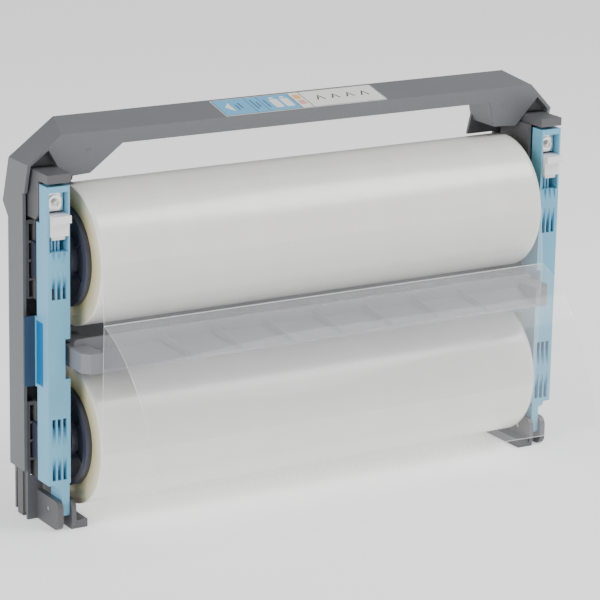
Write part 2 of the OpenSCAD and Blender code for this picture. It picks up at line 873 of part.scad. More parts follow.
module upper_core() {
    seated() color([0.78, 0.7, 0.55]) tube(core_d / 2, core_bore / 2, film_x, upper_z);
}

module lower_core() {
    seated() color([0.78, 0.7, 0.55]) tube(core_d / 2, core_bore / 2, film_x, lower_z);
}

// Dished end hub: a plug in the core, a rimmed flange, a boss and the journal.
module hub(side, z) {
    floor_t = 1.4;
    ribs = 6;
    seated() color([0.16, 0.17, 0.22]) at_end(side) {
        rod(film_x - plug_len, film_x + eps, core_bore / 2, 0, z);
        rod(film_x, film_x + floor_t, hub_d / 2, 0, z);
        difference() {
            rod(film_x, film_x + hub_rim_t, hub_d / 2, 0, z);
            rod(film_x, film_x + hub_rim_t + 1, hub_d / 2 - hub_rim_w, 0, z);
        }
        rod(film_x, boss_end, hub_boss_d / 2, 0, z);
        rod(film_x, journal_end, journal_r, 0, z);
        for (i = [0:ribs - 1]) {
            translate([0, 0, z]) rotate([i * 360 / ribs, 0, 0])
                block([film_x, -0.8, journal_r], [film_x + floor_t + 1.2, 0.8, hub_d / 2 - hub_rim_w / 2]);
        }
    }
}

module upper_left_hub() {
    hub(-1, upper_z);
}

module upper_right_hub() {
    hub(1, upper_z);
}

module lower_left_hub() {
    hub(-1, lower_z);
}

module lower_right_hub() {
    hub(1, lower_z);
}

// Flat rings between the hub bosses and the chassis, which slow the rolls.
module drag_washers() {
    washer_t = 1;
    seated() color([0.3, 0.3, 0.32]) for (side = [-1, 1], z = roll_axes) {
        at_end(side) difference() {
            rod(inner_wall_x - washer_t, inner_wall_x, journal_r + 4, 0, z);
            rod(film_x, arm_x, journal_r + 0.6, 0, z);
        }
    }
}

// Angle at which a web from the nip touches its roll, measured from the front.
function touch_angle(z) = let (rise = nip_z - z, reach = sqrt(nip_y * nip_y + rise * rise))
    (z < nip_z ? 1 : -1) * (atan2(abs(rise), nip_y) - acos(web_r / reach));

// A flat web from its roll to the nip, as a thin outline across the rolls.
module web(z, end_z) {
    a = touch_angle(z);
    near = web_r - web_t / 2;
    far = web_r + web_t / 2;
    across(-film_x, film_x) polygon([[-near * cos(a), z + near * sin(a)], [-far * cos(a), z + far * sin(a)],
        [-nip_y - web_t / 2, end_z], [-nip_y + web_t / 2, end_z]]);
}

module upper_web() {
    seated() color([0.9, 0.91, 0.92, 0.5]) web(upper_z, nip_z + 0.1);
}

module lower_web() {
    seated() color([0.9, 0.91, 0.92, 0.5]) web(lower_z, nip_z - 0.1);
}

// Point on the leader's hanging curve, from 0 at the nip to 1 at the hem.
function leader_point(t) = pow(1 - t, 3) * leader[0] + 3 * t * pow(1 - t, 2) * leader[1]
    + 3 * t * t * (1 - t) * leader[2] + t * t * t * leader[3];

module film_leader() {
    steps = 12;
    line = [for (i = [0:steps]) leader_point(i / steps)];
    under = [for (i = [0:steps])
        let (d = leader_point(min(1, i / steps + eps)) - leader_point(max(0, i / steps - eps)))
        line[i] + [-d[1], d[0]] / norm(d) * web_t];
    seated() color([0.9, 0.91, 0.92, 0.4]) across(-film_x, film_x) polygon(concat(line, reversed(under)));
}

carry_frame();
handle_label();
left_chassis();
right_chassis();
frame_screws();
guide_bar();
bar_screws();
left_hinge_pin();
right_hinge_pin();
left_arm();
right_arm();
left_pull_tab();
right_pull_tab();
left_grip_pad();
right_grip_pad();
left_latch();
right_latch();
left_latch_spring();
right_latch_spring();
left_strike_plate();
right_strike_plate();
left_strike_washer();
right_strike_washer();
left_strike_screw();
right_strike_screw();
upper_film();
lower_film();
upper_core();
lower_core();
upper_left_hub();
upper_right_hub();
lower_left_hub();
lower_right_hub();
drag_washers();
upper_web();
lower_web();
film_leader();
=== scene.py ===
"""Looks of a laminating film cartridge: moulded grey frame, blue arms, pearly rolls and clear film."""

import logging
import math
from dataclasses import dataclass
from enum import Enum

import bpy
import numpy as np
from mathutils import Matrix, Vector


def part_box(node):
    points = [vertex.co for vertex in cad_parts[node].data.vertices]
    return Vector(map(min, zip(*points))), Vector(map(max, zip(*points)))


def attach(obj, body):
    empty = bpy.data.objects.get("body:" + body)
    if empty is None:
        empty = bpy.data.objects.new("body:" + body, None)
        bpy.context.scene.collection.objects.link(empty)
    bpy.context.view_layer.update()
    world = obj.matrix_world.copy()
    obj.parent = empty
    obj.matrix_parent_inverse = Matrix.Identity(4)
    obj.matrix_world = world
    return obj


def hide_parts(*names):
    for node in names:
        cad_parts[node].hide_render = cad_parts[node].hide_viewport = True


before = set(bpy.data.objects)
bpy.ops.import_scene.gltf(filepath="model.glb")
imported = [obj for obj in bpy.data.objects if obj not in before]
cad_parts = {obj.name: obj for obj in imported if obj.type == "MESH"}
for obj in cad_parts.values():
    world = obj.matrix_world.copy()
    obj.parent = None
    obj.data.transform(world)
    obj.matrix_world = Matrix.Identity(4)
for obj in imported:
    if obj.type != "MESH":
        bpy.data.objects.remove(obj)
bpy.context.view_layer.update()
LOG = logging.getLogger("cartridge")
MM = 0.001
Colour = tuple[float, float, float]


class Side(Enum):
    """The two ends of the cartridge, as seen from the front."""

    LEFT = -1
    RIGHT = 1

    @property
    def word(self) -> str:
        """Name of the end as the nodes spell it."""
        return self.name.lower()


class Level(Enum):
    """The two rolls."""

    UPPER = "upper"
    LOWER = "lower"


# ---------------------------------------------------------------- shader building


class ShaderTree:
    """A node material under construction, with short calls for the nodes that the finishes share."""

    def __init__(self, name: str) -> None:
        """Starts an empty material with one Principled shader.

        Args:
            name: Name of the material.
        """
        self.material = bpy.data.materials.new(name)
        self.material.use_nodes = True
        self.tree = self.material.node_tree
        self.shader = self.tree.nodes["Principled BSDF"]

    def node(self, kind: str, **values: object) -> bpy.types.Node:
        """Adds one node.

        Args:
            kind: Type name of the node.
            **values: Attributes of the node, or inputs whose spaces are written as underscores.

        Returns:
            The new node.
        """
        made = self.tree.nodes.new(kind)
        for key, value in values.items():
            if hasattr(made, key):
                setattr(made, key, value)
            else:
                made.inputs[key.replace("_", " ")].default_value = value
        return made

    def link(self, source: bpy.types.NodeSocket, target: bpy.types.NodeSocket) -> None:
        """Joins two sockets."""
        self.tree.links.new(source, target)

    def settle(self, **values: object) -> None:
        """Sets constants straight on the shader's own sockets.

        Args:
            **values: Socket names with underscores for spaces, and their values.
        """
        for key, value in values.items():
            self.shader.inputs[key.replace("_", " ")].default_value = value

    def place(self, scale: tuple[float, float, float] = (1, 1, 1)) -> bpy.types.NodeSocket:
        """Object coordinates, stretched by a scale for each axis.

        Returns:
            The vector socket.
        """
        coordinates = self.node("ShaderNodeTexCoord")
        mapping = self.node("ShaderNodeMapping")
        mapping.inputs["Scale"].default_value = scale
        self.link(coordinates.outputs["Object"], mapping.inputs["Vector"])
        return mapping.outputs["Vector"]

    def noise(self, vector: bpy.types.NodeSocket, scale: float, detail: float = 3.0) -> bpy.types.NodeSocket:
        """A fractal noise value at a vector.

        Returns:
            The value socket.
        """
        made = self.node("ShaderNodeTexNoise", Scale=scale, Detail=detail)
        self.link(vector, made.inputs["Vector"])
        return made.outputs["Fac"]

    def ramp(self, value: bpy.types.NodeSocket, low: float, high: float) -> bpy.types.NodeSocket:
        """Turns a noise value into a number between two ends.

        Returns:
            The value socket.
        """
        made = self.node("ShaderNodeMapRange")
        made.inputs["From Min"].default_value = 0.3
        made.inputs["From Max"].default_value = 0.7
        made.inputs["To Min"].default_value = low
        made.inputs["To Max"].default_value = high
        self.link(value, made.inputs["Value"])
        return made.outputs["Result"]

    def math(self, operation: str, first: object, second: object = 0.0) -> bpy.types.NodeSocket:
        """One arithmetic step on sockets or numbers.

        Returns:
            The value socket.
        """
        made = self.node("ShaderNodeMath", operation=operation)
        for socket, value in zip(made.inputs, (first, second)):
            if isinstance(value, bpy.types.NodeSocket):
                self.link(value, socket)
            else:
                socket.default_value = value
        return made.outputs["Value"]

    def mix(self, fac: object, first: object, second: object) -> bpy.types.NodeSocket:
        """Blends two colours, given as sockets or as colours, by a factor.

        Returns:
            The colour socket.
        """
        made = self.node("ShaderNodeMix", data_type="RGBA")
        for socket, value in ((made.inputs[0], fac), (made.inputs[6], first), (made.inputs[7], second)):
            if isinstance(value, bpy.types.NodeSocket):
                self.link(value, socket)
            elif isinstance(value, tuple):
                socket.default_value = (*value, 1.0)
            else:
                socket.default_value = value
        return made.outputs[2]

    def bump(self, height: bpy.types.NodeSocket, distance: float, strength: float = 1.0) -> None:
        """Gives the shader a bumped normal from a height.

        Args:
            height: Socket with the height from 0 to 1.
            distance: Depth of the bump in metres.
            strength: Share of the bump that shows.
        """
        made = self.node("ShaderNodeBump", Distance=distance, Strength=strength)
        self.link(height, made.inputs["Height"])
        self.link(made.outputs["Normal"], self.shader.inputs["Normal"])

    def feed(self, **sockets: bpy.types.NodeSocket) -> None:
        """Links value or colour sockets to the shader's inputs of the same names."""
        for key, socket in sockets.items():
            self.link(socket, self.shader.inputs[key.replace("_", " ")])


def shade(colour: Colour, factor: float) -> Colour:
    """A colour made darker or lighter by one factor."""
    return tuple(min(1.0, c * factor) for c in colour)


@dataclass(frozen=True)
class MouldedPlastic:
    """Injection-moulded plastic with a fine spark-eroded grain and faint flow marks."""

    name: str
    colour: Colour
    roughness: float = 0.45
    grain: float = 1500.0
    depth: float = 0.00002
    mottling: float = 0.05
    coat: float = 0.0

    def material(self) -> bpy.types.Material:
        """Builds the material.

        Returns:
            The finished material.
        """
        tree = ShaderTree(self.name)
        place = tree.place()
        flow = tree.noise(tree.place((6, 14, 2)), 3.0, 4.0)
        fine = tree.noise(place, self.grain, 2.0)
        light, dark = shade(self.colour, 1 + self.mottling), shade(self.colour, 1 - self.mottling)
        soft = tree.mix(tree.ramp(flow, 0.0, 1.0), dark, light)
        tree.feed(Base_Color=tree.mix(tree.ramp(fine, 0.0, 0.12), soft, shade(self.colour, 0.86)))
        tree.feed(Roughness=tree.ramp(flow, self.roughness - 0.04, self.roughness + 0.06))
        tree.bump(fine, self.depth)
        tree.settle(Coat_Weight=self.coat, Coat_Roughness=0.12)
        return tree.material


@dataclass(frozen=True)
class PlatedSteel:
    """Steel with a thin plated skin, turned or stamped marks and a slightly warm tone."""

    name: str
    colour: Colour = (0.74, 0.73, 0.70)
    roughness: float = 0.26

    def material(self) -> bpy.types.Material:
        """Builds the material.

        Returns:
            The finished material.
        """
        tree = ShaderTree(self.name)
        streak = tree.noise(tree.place((400, 60, 60)), 8.0, 3.0)
        spots = tree.noise(tree.place(), 500.0, 2.0)
        tree.feed(Base_Color=tree.mix(tree.ramp(spots, 0.0, 0.5), self.colour, shade(self.colour, 0.8)))
        tree.feed(Roughness=tree.ramp(streak, self.roughness - 0.06, self.roughness + 0.1))
        tree.bump(streak, 0.00001)
        tree.settle(Metallic=1.0)
        return tree.material


@dataclass(frozen=True)
class WoundFilm:
    """Outer face of a wound roll: pearly film with soft bands round it and faint streaks along it, whose
    lighter colour is a painted highlight.
    """

    name: str = "wound_film"
    colour: Colour = (0.83, 0.825, 0.795)

    def material(self) -> bpy.types.Material:
        """Builds the material.

        Returns:
            The finished material.
        """
        tree = ShaderTree(self.name)
        bands = tree.noise(tree.place((30, 0.2, 0.2)), 1.6, 4.0)
        streaks = tree.noise(tree.place((1.2, 60, 60)), 2.2, 4.0)
        cloud = tree.noise(tree.place((4, 16, 16)), 1.5, 3.0)
        tone = tree.mix(tree.ramp(bands, 0.0, 1.0), shade(self.colour, 0.955), shade(self.colour, 1.045))
        warm = tree.mix(tree.ramp(cloud, 0.0, 0.45), tone, (0.86, 0.835, 0.79))
        # Painted highlight: the streaks along the roll are lightened towards near white; their roughness and
        # bump are the film's own.
        tree.feed(Base_Color=tree.mix(tree.ramp(streaks, 0.0, 0.4), warm, (0.93, 0.93, 0.91)))
        tree.feed(Roughness=tree.ramp(streaks, 0.27, 0.40))
        height = tree.math("ADD", tree.math("MULTIPLY", streaks, 0.6), tree.math("MULTIPLY", bands, 0.4))
        tree.bump(height, 0.0005, 0.35)
        tree.settle(Coat_Weight=0.45, Coat_Roughness=0.16, Subsurface_Weight=0.12, Subsurface_Scale=0.002)
        tree.shader.inputs["Subsurface Radius"].default_value = (1.0, 0.9, 0.7)
        return tree.material


@dataclass(frozen=True)
class FilmEdges:
    """Cut edges of the wound film at a roll's end: amber depth near the hub and fine turns."""

    name: str = "film_edges"
    inner: Colour = (0.50, 0.42, 0.16)
    outer: Colour = (0.86, 0.82, 0.62)

    def material(self) -> bpy.types.Material:
        """Builds the material from the piece's own UV, whose U runs from the core outwards.

        Returns:
            The finished material.
        """
        tree = ShaderTree(self.name)
        uv = tree.node("ShaderNodeUVMap", uv_map="turns")
        parts = tree.node("ShaderNodeSeparateXYZ")
        tree.link(uv.outputs["UV"], parts.inputs["Vector"])
        outward = parts.outputs["X"]
        joined = tree.node("ShaderNodeCombineXYZ")
        tree.link(tree.math("MULTIPLY", outward, 60.0), joined.inputs["X"])
        turns = tree.noise(joined.outputs["Vector"], 4.0, 4.0)
        cloud = tree.noise(tree.place(), 30.0, 3.0)
        rise = tree.node("ShaderNodeMapRange", interpolation_type="SMOOTHSTEP")
        rise.inputs["From Min"].default_value = 0.42
        rise.inputs["From Max"].default_value = 1.0
        tree.link(outward, rise.inputs["Value"])
        glow = tree.mix(rise.outputs["Result"], self.inner, self.outer)
        lined = tree.mix(tree.ramp(turns, 0.0, 0.3), glow, (0.93, 0.90, 0.74))
        tree.feed(Base_Color=tree.mix(tree.ramp(cloud, 0.0, 0.25), lined, (0.66, 0.52, 0.22)))
        tree.bump(turns, 0.0002, 0.5)
        tree.settle(Roughness=0.34, Coat_Weight=0.3, Coat_Roughness=0.2, Subsurface_Weight=0.25)
        tree.settle(Subsurface_Scale=0.003)
        return tree.material


@dataclass(frozen=True)
class ClearFilm:
    """Thin clear film: faint haze, glossy skin, and cut edges painted as bright highlights."""

    name: str
    haze: float = 0.06
    grazing: float = 0.22
    width: float = 0.306
    length: float = 0.1
    edge: float = 0.0003

    def material(self) -> bpy.types.Material:
        """Builds the material from the piece's own UV, which runs from 0 to 1 across and along it.

        Returns:
            The finished material.
        """
        tree = ShaderTree(self.name)
        uv = tree.node("ShaderNodeUVMap", uv_map="sheet")
        parts = tree.node("ShaderNodeSeparateXYZ")
        tree.link(uv.outputs["UV"], parts.inputs["Vector"])
        cut = self.near(tree, parts.outputs["X"], self.width)
        hem = self.near(tree, parts.outputs["Y"], self.length)
        edges = tree.math("MAXIMUM", cut, hem)
        facing = tree.node("ShaderNodeLayerWeight", Blend=0.35)
        cloud = tree.noise(tree.place((3, 9, 9)), 2.4, 3.0)
        skin = tree.math("MULTIPLY", facing.outputs["Facing"], self.grazing)
        body = tree.math("ADD", skin, tree.ramp(cloud, self.haze * 0.8, self.haze * 1.25))
        # Painted highlight: near the cut edges the film turns more opaque and near white.
        tree.feed(Alpha=tree.math("MAXIMUM", body, tree.math("MULTIPLY", edges, 0.55)))
        tree.feed(Base_Color=tree.mix(edges, (0.80, 0.81, 0.83), (0.97, 0.97, 0.97)))
        tree.bump(cloud, 0.0006, 0.2)
        tree.settle(Roughness=0.12, Coat_Weight=0.6, Coat_Roughness=0.05)
        return tree.material

    def near(self, tree: ShaderTree, along: bpy.types.NodeSocket, span: float) -> bpy.types.NodeSocket:
        """A value of 1 within the edge's width of either end of a span.

        Returns:
            The value socket.
        """
        inward = tree.math("MINIMUM", along, tree.math("SUBTRACT", 1.0, along))
        return tree.math("LESS_THAN", tree.math("MULTIPLY", inward, span), self.edge)


@dataclass(frozen=True)
class PrintedInk:
    """Ink on a vinyl label, under a clear satin laminate."""

    name: str
    colour: Colour

    def material(self) -> bpy.types.Material:
        """Builds the material.

        Returns:
            The finished material.
        """
        tree = ShaderTree(self.name)
        speck = tree.noise(tree.place(), 2500.0, 2.0)
        peel = tree.noise(tree.place(), 220.0, 2.0)
        tree.feed(Base_Color=tree.mix(tree.ramp(speck, 0.0, 0.2), self.colour, shade(self.colour, 0.9)))
        tree.feed(Roughness=tree.ramp(peel, 0.28, 0.36))
        tree.bump(peel, 0.00002, 0.5)
        tree.settle(Coat_Weight=0.3, Coat_Roughness=0.15)
        return tree.material


@dataclass(frozen=True)
class Fibre:
    """Matt fibrous stock, such as rolled card or felt."""

    name: str
    colour: Colour

    def material(self) -> bpy.types.Material:
        """Builds the material.

        Returns:
            The finished material.
        """
        tree = ShaderTree(self.name)
        fibres = tree.noise(tree.place((1, 4, 4)), 350.0, 5.0)
        tree.feed(Base_Color=tree.mix(tree.ramp(fibres, 0.0, 1.0), shade(self.colour, 0.8), self.colour))
        tree.bump(fibres, 0.0001, 0.7)
        tree.settle(Roughness=0.85, Sheen_Weight=0.2)
        return tree.material


@dataclass(frozen=True)
class StudioPaper:
    """Matt white paper of the studio's sweep, with a faint glow of its own so that it stays pale."""

    name: str = "studio_paper"
    colour: Colour = (0.90, 0.90, 0.90)
    glow: float = 0.56

    def material(self) -> bpy.types.Material:
        """Builds the material.

        Returns:
            The finished material.
        """
        tree = ShaderTree(self.name)
        cloud = tree.noise(tree.place(), 2.0, 2.0)
        tree.feed(Base_Color=tree.mix(tree.ramp(cloud, 0.0, 1.0), shade(self.colour, 0.995), self.colour))
        tree.settle(Roughness=0.9, Emission_Color=(1.0, 1.0, 1.0, 1.0), Emission_Strength=self.glow)
        return tree.material


# ---------------------------------------------------------------- mesh building


def mesh_piece(name: str, points: np.ndarray, faces: np.ndarray, material: bpy.types.Material,
               smooth: bool = True) -> bpy.types.Object:
    """Makes an object from whole arrays, with its place in its mesh.

    Args:
        name: Name of the piece.
        points: Array of [n, 3] places in metres.
        faces: Array of [m, 3 or 4] point numbers.
        material: Material of every face.
        smooth: Whether the faces are shaded smoothly.

    Returns:
        The new object, linked to the scene.
    """
    mesh = bpy.data.meshes.new(name)
    mesh.from_pydata(points.tolist(), [], faces.tolist())
    mesh.polygons.foreach_set("use_smooth", np.full(len(faces), smooth))
    mesh.materials.append(material)
    mesh.update()
    piece = bpy.data.objects.new(name, mesh)
    bpy.context.scene.collection.objects.link(piece)
    return piece


def grid_faces(rows: int, columns: int, rows_close: bool = False, columns_close: bool = False) -> np.ndarray:
    """Quads of a grid of points stored row by row.

    Args:
        rows: Number of rows.
        columns: Number of columns.
        rows_close: Whether the last row joins the first.
        columns_close: Whether the last column joins the first.

    Returns:
        Array of [m, 4] point numbers.
    """
    i, j = np.meshgrid(np.arange(rows if rows_close else rows - 1),
                       np.arange(columns if columns_close else columns - 1), indexing="ij")
    i, j = i.ravel(), j.ravel()
    down, across = (i + 1) % rows, (j + 1) % columns
    return np.stack([i * columns + j, i * columns + across, down * columns + across, down * columns + j], 1)


def revolve(profile: np.ndarray, centre: np.ndarray, steps: int) -> tuple[np.ndarray, np.ndarray]:
    """Turns a closed profile of [x, r] about a line along X, as a closed grid.

    Point (i, k) is (x_i, cy + r_i sin a_k, cz + r_i cos a_k), where a_k runs once round.

    Args:
        profile: Array of [n, 2] with the place along X and the radius, in metres.
        centre: The line's y and z.
        steps: Number of steps round.

    Returns:
        The points and the quads.
    """
    turn = np.linspace(0, 2 * np.pi, steps, endpoint=False)
    x = np.repeat(profile[:, 0, None], steps, 1)
    y = centre[0] + profile[:, 1, None] * np.sin(turn)
    z = centre[1] + profile[:, 1, None] * np.cos(turn)
    return np.stack([x, y, z], -1).reshape(-1, 3), grid_faces(len(profile), steps, True, True)


def add_uv(piece: bpy.types.Object, name: str, uv: np.ndarray) -> None:
    """Stores one UV pair for each point on all of the point's corners.

    Args:
        piece: The object whose mesh gets the map.
        name: Name of the map.
        uv: Array of [n, 2], one pair for each point.
    """
    mesh = piece.data
    corner = np.zeros(len(mesh.loops), np.int32)
    mesh.loops.foreach_get("vertex_index", corner)
    layer = mesh.uv_layers.new(name=name)
    layer.data.foreach_set("uv", uv[corner].astype(np.float32).ravel())


def dress(node: str, material: bpy.types.Material) -> bpy.types.Object:
    """Gives a CAD node its material.

    Args:
        node: Name of the node.
        material: Its finish.

    Returns:
        The node's object.
    """
    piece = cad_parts[node]
    piece.data.materials.clear()
    piece.data.materials.append(material)
    return piece


def ease(node: str, width: float) -> None:
    """Softens a CAD node's sharp edges with a small live bevel.

    Args:
        node: Name of the node.
        width: Width of the bevel in metres.
    """
    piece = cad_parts[node]
    weld = piece.modifiers.new("weld", "WELD")
    weld.merge_threshold = 0.00001
    bevel = piece.modifiers.new("edges", "BEVEL")
    bevel.width = width
    bevel.segments = 2
    bevel.limit_method = "ANGLE"
    bevel.angle_limit = math.radians(40)
    bevel.harden_normals = True
    bevel.use_clamp_overlap = True


def placement(right: np.ndarray, up: np.ndarray, ahead: np.ndarray, place: np.ndarray) -> Matrix:
    """Matrix of a camera or a light that stands at a place and looks ahead.

    Args:
        right: Unit vector to its right.
        up: Unit vector up.
        ahead: Unit vector along its view.
        place: Where it stands, in metres.

    Returns:
        The world matrix.
    """
    matrix = np.eye(4)
    matrix[:3, :] = np.stack([right, up, -ahead, place], 1)
    return Matrix(matrix.tolist())


def corners(node: str) -> tuple[np.ndarray, np.ndarray]:
    """Lowest and highest corners of a CAD node as arrays."""
    low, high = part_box(node)
    return np.array(low), np.array(high)


# ---------------------------------------------------------------- sub-assemblies


@dataclass
class CarryFrame:
    """Grey carry frame and the two dark chassis, with the marks that moulding leaves on the handle."""

    frame_colour: Colour = (0.135, 0.138, 0.148)
    chassis_colour: Colour = (0.10, 0.10, 0.107)
    bevel: float = 0.0004
    mark_radius: float = 0.0017
    mark_inset: float = 0.0375
    mark_drop: float = 0.0158
    top_drop: float = 0.0048
    lean: float = 0.2957

    def dress(self) -> None:
        """Gives the frame, the chassis, the bar and the fasteners their finishes."""
        grey = MouldedPlastic("frame_grey", self.frame_colour, roughness=0.42).material()
        dark = MouldedPlastic("chassis_grey", self.chassis_colour, roughness=0.45).material()
        bar = MouldedPlastic("bar_grey", (0.20, 0.20, 0.22), roughness=0.4).material()
        steel = PlatedSteel("screw_steel").material()
        bright = PlatedSteel("strike_steel", (0.86, 0.85, 0.83), 0.2).material()
        dress("carry_frame", grey)
        dress("guide_bar", bar)
        for node in ("frame_screws", "bar_screws"):
            dress(node, steel)
        dress("drag_washers", Fibre("drag_felt", (0.09, 0.09, 0.095)).material())
        ease("carry_frame", self.bevel)
        ease("guide_bar", self.bevel * 0.6)
        for side in Side:
            dress(f"{side.word}_chassis", dark)
            ease(f"{side.word}_chassis", self.bevel * 0.6)
            for part in ("hinge_pin", "strike_screw"):
                dress(f"{side.word}_{part}", steel)
            for part in ("strike_plate", "strike_washer"):
                dress(f"{side.word}_{part}", bright)
        LOG.info("frame dressed")

    def add_marks(self) -> None:
        """Adds an ejector mark, a shallow ring round a dimple, to the front of each bracket."""
        low, high = corners("carry_frame")
        material = MouldedPlastic("mark_grey", shade(self.frame_colour, 0.8), roughness=0.4).material()
        z = high[2] - self.mark_drop
        y = low[1] + (high[2] - self.top_drop - z) * self.lean
        for side in Side:
            centre = np.array([side.value * (high[0] - self.mark_inset), y, z])
            turn = np.linspace(0, 2 * np.pi, 40, endpoint=False)
            radius = self.mark_radius * np.array([0.02, 0.45, 0.62, 0.8, 1.0])
            lift = np.array([0.00001, 0.00002, 0.00016, 0.00016, 0.00001])
            normal = np.array([0, -1, self.lean]) / math.hypot(1, self.lean)
            along = np.cross(np.array([1.0, 0, 0]), normal)
            ring = radius[:, None, None] * (np.cos(turn)[None, :, None] * np.array([1.0, 0, 0])
                                            + np.sin(turn)[None, :, None] * along)
            points = (centre + ring + lift[:, None, None] * normal).reshape(-1, 3)
            faces = grid_faces(len(radius), len(turn), False, True)
            mark = mesh_piece(f"{side.word}_ejector_mark", points, faces, material)
            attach(mark, "cartridge")
        LOG.info("ejector marks added")

    def build(self) -> None:
        """Dresses the nodes and adds the marks."""
        self.dress()
        self.add_marks()


@dataclass
class EndArms:
    """The two blue arms, with their pull tabs, pads, latches and springs."""

    colour: Colour = (0.17, 0.45, 0.64)
    bevel: float = 0.0003

    def build(self) -> None:
        """Dresses every node of both arms."""
        blue = MouldedPlastic("arm_blue", self.colour, roughness=0.4, mottling=0.03).material()
        # Painted shade: the pull tabs are the arms' own blue plastic, given this near-black navy copy of it
        # for the shade on their front faces.
        navy = MouldedPlastic("tab_navy", (0.022, 0.055, 0.105), roughness=0.5).material()
        # Painted shade: the grip pads are the arms' own blue plastic too, given this deep saturated copy of
        # it for the shade inside the recesses.
        shaded_recess_blue = MouldedPlastic("pad_blue", (0.002, 0.17, 0.43), roughness=0.38).material()
        white = MouldedPlastic("latch_white", (0.84, 0.84, 0.86), roughness=0.28, mottling=0.02,
                               coat=0.3).material()
        wire = PlatedSteel("spring_wire", (0.7, 0.7, 0.72), 0.22).material()
        finishes = {"arm": blue, "pull_tab": navy, "grip_pad": shaded_recess_blue, "latch": white, "latch_spring": wire}
        for side in Side:
            for part, finish in finishes.items():
                dress(f"{side.word}_{part}", finish)
            ease(f"{side.word}_arm", self.bevel)
            ease(f"{side.word}_latch", self.bevel * 1.5)
            ease(f"{side.word}_pull_tab", self.bevel)
        LOG.info("arms dressed")


@dataclass
class FilmRoll:
    """A wound roll with its core and hubs, whose face has slight hard bands and whose ends show the turns."""

    level: Level
    ripple: float = 0.00010
    edge_round: float = 0.0004
    steps: int = 256
    face_rows: int = 120
    end_rows: int = 90

    def profile(self, half: float, outer: float, inner: float) -> tuple[np.ndarray, np.ndarray]:
        """Closed profile of the roll: along the outside, down one end, back through the bore, up the other.

        The outside's radius dips by sums of sines along X, and each end steps in and out by a few
        hundredths of a millimetre, as wound turns do.

        Args:
            half: Half of the film's width.
            outer: Outer radius.
            inner: Radius of the bore.

        Returns:
            The profile as [x, r], and the share of the way out for each point.
        """
        x = np.linspace(-half + self.edge_round, half - self.edge_round, self.face_rows)
        shift = 0.7 if self.level is Level.UPPER else 2.1
        wave = 0.4 * np.sin(90 * x + shift) + 0.35 * np.sin(233 * x + 2 * shift) + 0.25 * np.sin(517 * x)
        outside = np.stack([x, outer - self.ripple * (1.0 - wave) / 2], 1)
        share = np.linspace(1, 0, self.end_rows)
        radius = inner + (outer - self.edge_round - inner) * share
        step = 0.00004 * (np.sin(310 * share) + np.sin(97 * share + shift))
        right_end = np.stack([half - 0.0001 + step, radius], 1)
        left_end = np.stack([-half + 0.0001 - step[::-1], radius[::-1]], 1)
        line = np.concatenate([outside, right_end, left_end])
        return line, (line[:, 1] - inner) / (outer - inner)

    def build(self) -> None:
        """Replaces the plain film solid, and dresses the core and the hubs."""
        node = f"{self.level.value}_film"
        low, high = corners(node)
        core_low, core_high = corners(f"{self.level.value}_core")
        centre = (low[1:] + high[1:]) / 2
        line, share = self.profile(high[0], (high[2] - low[2]) / 2, (core_high[2] - core_low[2]) / 2)
        points, faces = revolve(line, centre, self.steps)
        roll = mesh_piece(f"{self.level.value}_wound_roll", points, faces[:, ::-1], WoundFilm().material())
        roll.data.materials.append(FilmEdges().material())
        ends = np.zeros(len(line), np.int32)
        ends[self.face_rows:-1] = 1
        roll.data.polygons.foreach_set("material_index", np.repeat(ends, self.steps))
        turn = np.tile(np.arange(self.steps) / self.steps, len(line))
        add_uv(roll, "turns", np.stack([np.repeat(share, self.steps), turn], 1))
        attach(roll, f"{self.level.value}_roll")
        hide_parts(node)
        dress(f"{self.level.value}_core", Fibre("core_card", (0.5, 0.36, 0.2)).material())
        charcoal = MouldedPlastic("hub_charcoal", (0.045, 0.05, 0.075), roughness=0.36).material()
        for side in Side:
            hub = f"{self.level.value}_{side.word}_hub"
            dress(hub, charcoal)
            ease(hub, 0.0004)
        LOG.info("%s roll built", self.level.value)


